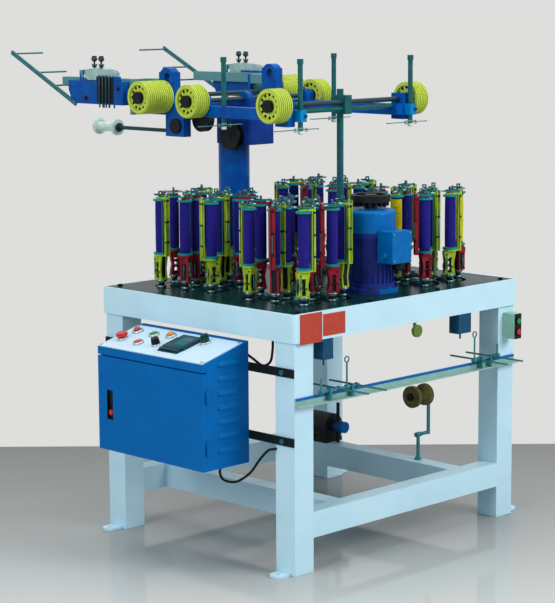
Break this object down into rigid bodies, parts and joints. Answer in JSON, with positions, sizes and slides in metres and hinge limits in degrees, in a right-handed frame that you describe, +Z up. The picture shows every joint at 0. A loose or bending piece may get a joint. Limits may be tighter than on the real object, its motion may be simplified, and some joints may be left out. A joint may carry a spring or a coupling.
{
  "type": "braiding machine",
  "caption": "Floor-standing braiding machine with bobbin carriers on a track plate, a control cabinet, a drive motor and a take-up unit on a column.",
  "frame": {"origin": "on the floor under the middle of the table, centre of the floor bolt pattern", "axes": "+Z up, +X along the table away from the control cabinet, +Y to the rear where the braid leaves"},
  "size_m": [1.2949, 1.6862, 1.5486],
  "materials": {
    "frame_white": "semi-gloss",
    "black_steel": "satin",
    "green_plate": "gloss",
    "cabinet_blue": "semi-gloss",
    "panel_white": "satin",
    "lamp_red": "gloss",
    "plastic_red": "gloss",
    "plastic_green": "gloss",
    "plastic_black": "satin",
    "motor_blue": "gloss",
    "gear_iron": "machined",
    "indigo_paint": "semi-gloss",
    "bright_steel": "brushed",
    "pale_paint": "satin",
    "roll_yellow": "semi-gloss",
    "teal_paint": "semi-gloss",
    "nylon_white": "satin",
    "station_grey": "satin",
    "spool_tan": "satin",
    "yarn_indigo": "wound yarn",
    "cable_black": "matte",
    "carrier_green": "gloss",
    "carrier_red": "gloss"
  },
  "bodies": {
    "frame": {"legs": "frame_white", "lower_rails": "frame_white", "apron": "frame_white", "bed_plate": "black_steel", "track_plate": "green_plate", "cabinet_straps": "black_steel", "cabinet_body": "cabinet_blue", "cabinet_panel": "panel_white", "panel_lamps": "lamp_red", "motor_body": "motor_blue", "column": "indigo_paint", "gearbox": "indigo_paint", "takeup_arms": "indigo_paint", "rear_beams": "indigo_paint", "braid_racks": "bright_steel", "guide_post": "teal_paint", "guide_rods": "teal_paint", "stop_bar": "frame_white", "switch_boxes": "teal_paint", "station_box": "station_grey", "rail_fittings": "black_steel", "cabinet_cable": "cable_black", "supply_cable": "cable_black"},
    "back_gear_1_body": {"back_gear_1": "carrier_red"},
    "back_gear_2_body": {"back_gear_2": "carrier_green"},
    "back_gear_3_body": {"back_gear_3": "carrier_red"},
    "back_gear_4_body": {"back_gear_4": "carrier_green"},
    "bull_gear_body": {"bull_gear": "gear_iron"},
    "cabinet_door_body": {"cabinet_door": "cabinet_blue"},
    "emergency_stop_body": {"emergency_stop": "plastic_red"},
    "front_bobbin_body": {"front_bobbin": "yarn_indigo"},
    "front_gear_1_body": {"front_gear_1": "carrier_red"},
    "front_gear_2_body": {"front_gear_2": "carrier_green"},
    "front_gear_3_body": {"front_gear_3": "carrier_red"},
    "front_gear_4_body": {"front_gear_4": "carrier_green"},
    "front_rolls_body": {"front_rolls": "roll_yellow"},
    "guide_roller_body": {"guide_roller": "nylon_white"},
    "handwheel_body": {"handwheel": "plastic_black"},
    "left_gear_1_body": {"left_gear_1": "carrier_green"},
    "left_gear_2_body": {"left_gear_2": "carrier_red"},
    "left_gear_3_body": {"left_gear_3": "carrier_green"},
    "left_gear_4_body": {"left_gear_4": "carrier_red"},
    "middle_rolls_body": {"middle_rolls": "roll_yellow"},
    "mode_selector_body": {"mode_selector": "plastic_black"},
    "pressure_arm_left_body": {"pressure_arm_left": "pale_paint"},
    "pressure_arm_right_body": {"pressure_arm_right": "pale_paint"},
    "rear_rolls_body": {"rear_rolls": "roll_yellow"},
    "right_gear_1_body": {"right_gear_1": "carrier_green"},
    "right_gear_2_body": {"right_gear_2": "carrier_red"},
    "right_gear_3_body": {"right_gear_3": "carrier_green"},
    "right_gear_4_body": {"right_gear_4": "carrier_red"},
    "speed_knob_body": {"speed_knob": "plastic_black"},
    "start_button_body": {"start_button": "plastic_green"},
    "station_start_body": {"station_start": "plastic_green"},
    "station_stop_body": {"station_stop": "plastic_red"},
    "stop_button_body": {"stop_button": "plastic_red"},
    "stop_fork_left_body": {"stop_fork_left": "bright_steel"},
    "stop_fork_right_body": {"stop_fork_right": "bright_steel"},
    "supply_spool_body": {"supply_spool": "spool_tan"},
    "takeup_wheel_body": {"takeup_wheel": "plastic_black"}
  },
  "joints": [
    {"name": "door_swing", "type": "hinge", "parent": "frame", "child": "cabinet_door_body", "pos_m": [-0.7, -0.2463, 0.45], "axis": [0, 0, 1], "range_deg": [0, 110]},
    {"name": "emergency_press", "type": "slide", "parent": "frame", "child": "emergency_stop_body", "axis": [0.2545, 0, -0.9671], "range_m": [0, 0.005]},
    {"name": "start_press", "type": "slide", "parent": "frame", "child": "start_button_body", "axis": [0.2545, 0, -0.9671], "range_m": [0, 0.003], "stiffness_N_per_m": 200, "springref_m": -0.001},
    {"name": "stop_press", "type": "slide", "parent": "frame", "child": "stop_button_body", "axis": [0.2545, 0, -0.9671], "range_m": [0, 0.003], "stiffness_N_per_m": 200, "springref_m": -0.001},
    {"name": "speed_turn", "type": "hinge", "parent": "frame", "child": "speed_knob_body", "pos_m": [-0.65294, 0.036, 0.6707], "axis": [-0.2545, 0, 0.9671], "range_deg": [-150, 150]},
    {"name": "mode_turn", "type": "hinge", "parent": "frame", "child": "mode_selector_body", "pos_m": [-0.58911, -0.118, 0.68749], "axis": [-0.2545, 0, 0.9671], "range_deg": [-45, 45]},
    {"name": "main_drive", "type": "hinge", "parent": "frame", "child": "bull_gear_body", "pos_m": [0, 0, 0.75], "axis": [0, 0, 1], "continuous": true},
    {"name": "motor_spin", "type": "hinge", "parent": "frame", "child": "handwheel_body", "pos_m": [0, -0.26, 1], "axis": [0, 0, 1], "continuous": true},
    {"name": "front_turn_1", "type": "hinge", "parent": "frame", "child": "front_gear_1_body", "pos_m": [-0.2125, -0.1365, 0.75], "axis": [0, 0, 1], "continuous": true},
    {"name": "front_turn_2", "type": "hinge", "parent": "frame", "child": "front_gear_2_body", "pos_m": [-0.3475, -0.1365, 0.75], "axis": [0, 0, 1], "continuous": true},
    {"name": "front_turn_3", "type": "hinge", "parent": "frame", "child": "front_gear_3_body", "pos_m": [-0.3475, -0.2715, 0.75], "axis": [0, 0, 1], "continuous": true},
    {"name": "front_turn_4", "type": "hinge", "parent": "frame", "child": "front_gear_4_body", "pos_m": [-0.2125, -0.2715, 0.75], "axis": [0, 0, 1], "continuous": true},
    {"name": "left_turn_1", "type": "hinge", "parent": "frame", "child": "left_gear_1_body", "pos_m": [-0.2125, 0.2715, 0.75], "axis": [0, 0, 1], "continuous": true},
    {"name": "left_turn_2", "type": "hinge", "parent": "frame", "child": "left_gear_2_body", "pos_m": [-0.3475, 0.2715, 0.75], "axis": [0, 0, 1], "continuous": true},
    {"name": "left_turn_3", "type": "hinge", "parent": "frame", "child": "left_gear_3_body", "pos_m": [-0.3475, 0.1365, 0.75], "axis": [0, 0, 1], "continuous": true},
    {"name": "left_turn_4", "type": "hinge", "parent": "frame", "child": "left_gear_4_body", "pos_m": [-0.2125, 0.1365, 0.75], "axis": [0, 0, 1], "continuous": true},
    {"name": "right_turn_1", "type": "hinge", "parent": "frame", "child": "right_gear_1_body", "pos_m": [0.3475, -0.1365, 0.75], "axis": [0, 0, 1], "continuous": true},
    {"name": "right_turn_2", "type": "hinge", "parent": "frame", "child": "right_gear_2_body", "pos_m": [0.2125, -0.1365, 0.75], "axis": [0, 0, 1], "continuous": true},
    {"name": "right_turn_3", "type": "hinge", "parent": "frame", "child": "right_gear_3_body", "pos_m": [0.2125, -0.2715, 0.75], "axis": [0, 0, 1], "continuous": true},
    {"name": "right_turn_4", "type": "hinge", "parent": "frame", "child": "right_gear_4_body", "pos_m": [0.3475, -0.2715, 0.75], "axis": [0, 0, 1], "continuous": true},
    {"name": "back_turn_1", "type": "hinge", "parent": "frame", "child": "back_gear_1_body", "pos_m": [0.3475, 0.2715, 0.75], "axis": [0, 0, 1], "continuous": true},
    {"name": "back_turn_2", "type": "hinge", "parent": "frame", "child": "back_gear_2_body", "pos_m": [0.2125, 0.2715, 0.75], "axis": [0, 0, 1], "continuous": true},
    {"name": "back_turn_3", "type": "hinge", "parent": "frame", "child": "back_gear_3_body", "pos_m": [0.2125, 0.1365, 0.75], "axis": [0, 0, 1], "continuous": true},
    {"name": "back_turn_4", "type": "hinge", "parent": "frame", "child": "back_gear_4_body", "pos_m": [0.3475, 0.1365, 0.75], "axis": [0, 0, 1], "continuous": true},
    {"name": "bobbin_spin", "type": "hinge", "parent": "front_gear_3_body", "child": "front_bobbin_body", "pos_m": [-0.37814, -0.33164, 1], "axis": [0, 0, 1], "continuous": true},
    {"name": "front_roll_turn", "type": "hinge", "parent": "frame", "child": "front_rolls_body", "pos_m": [0, -0.149, 1.396], "axis": [1, 0, 0], "continuous": true},
    {"name": "middle_roll_turn", "type": "hinge", "parent": "frame", "child": "middle_rolls_body", "pos_m": [0, 0.257, 1.396], "axis": [1, 0, 0], "continuous": true},
    {"name": "rear_roll_turn", "type": "hinge", "parent": "frame", "child": "rear_rolls_body", "pos_m": [0, 0.43, 1.405], "axis": [1, 0, 0], "continuous": true},
    {"name": "guide_roller_turn", "type": "hinge", "parent": "frame", "child": "guide_roller_body", "pos_m": [-0.238, 0.7375, 1.292], "axis": [0, 1, 0], "continuous": true},
    {"name": "takeup_wheel_turn", "type": "hinge", "parent": "frame", "child": "takeup_wheel_body", "pos_m": [-0.072, 0.3, 1.27], "axis": [1, 0, 0], "continuous": true},
    {"name": "spool_turn", "type": "hinge", "parent": "frame", "child": "supply_spool_body", "pos_m": [0.3, -0.205, 0.405], "axis": [1, 0, 0], "continuous": true},
    {"name": "pressure_left_lift", "type": "hinge", "parent": "frame", "child": "pressure_arm_left_body", "pos_m": [-0.336, 0.74, 1.48], "axis": [-1, 0, 0], "range_deg": [0, 60]},
    {"name": "pressure_right_lift", "type": "hinge", "parent": "frame", "child": "pressure_arm_right_body", "pos_m": [0.336, 0.74, 1.48], "axis": [-1, 0, 0], "range_deg": [0, 60]},
    {"name": "fork_left_tilt", "type": "hinge", "parent": "frame", "child": "stop_fork_left_body", "pos_m": [-0.34, -0.445, 0.556], "axis": [1, 0, 0], "range_deg": [-10, 10]},
    {"name": "fork_right_tilt", "type": "hinge", "parent": "frame", "child": "stop_fork_right_body", "pos_m": [0.36, -0.445, 0.556], "axis": [1, 0, 0], "range_deg": [-10, 10]},
    {"name": "station_start_press", "type": "slide", "parent": "frame", "child": "station_start_body", "axis": [0, 1, 0], "range_m": [0, 0.003], "stiffness_N_per_m": 200, "springref_m": -0.001},
    {"name": "station_stop_press", "type": "slide", "parent": "frame", "child": "station_stop_body", "axis": [0, 1, 0], "range_m": [0, 0.003], "stiffness_N_per_m": 200, "springref_m": -0.001}
  ],
  "couplings": [
    {"joint": "motor_spin", "follows": "main_drive", "ratio": -2.4667},
    {"joint": "front_turn_1", "follows": "main_drive", "ratio": -2.7407},
    {"joint": "front_turn_2", "follows": "main_drive", "ratio": 2.7407},
    {"joint": "front_turn_3", "follows": "main_drive", "ratio": -2.7407},
    {"joint": "front_turn_4", "follows": "main_drive", "ratio": 2.7407},
    {"joint": "left_turn_1", "follows": "main_drive", "ratio": 2.7407},
    {"joint": "left_turn_2", "follows": "main_drive", "ratio": -2.7407},
    {"joint": "left_turn_3", "follows": "main_drive", "ratio": 2.7407},
    {"joint": "left_turn_4", "follows": "main_drive", "ratio": -2.7407},
    {"joint": "right_turn_1", "follows": "main_drive", "ratio": 2.7407},
    {"joint": "right_turn_2", "follows": "main_drive", "ratio": -2.7407},
    {"joint": "right_turn_3", "follows": "main_drive", "ratio": 2.7407},
    {"joint": "right_turn_4", "follows": "main_drive", "ratio": -2.7407},
    {"joint": "back_turn_1", "follows": "main_drive", "ratio": -2.7407},
    {"joint": "back_turn_2", "follows": "main_drive", "ratio": 2.7407},
    {"joint": "back_turn_3", "follows": "main_drive", "ratio": -2.7407},
    {"joint": "back_turn_4", "follows": "main_drive", "ratio": 2.7407},
    {"joint": "front_roll_turn", "follows": "main_drive", "ratio": 0.1},
    {"joint": "middle_roll_turn", "follows": "main_drive", "ratio": 0.1},
    {"joint": "rear_roll_turn", "follows": "main_drive", "ratio": 0.1}
  ]
}
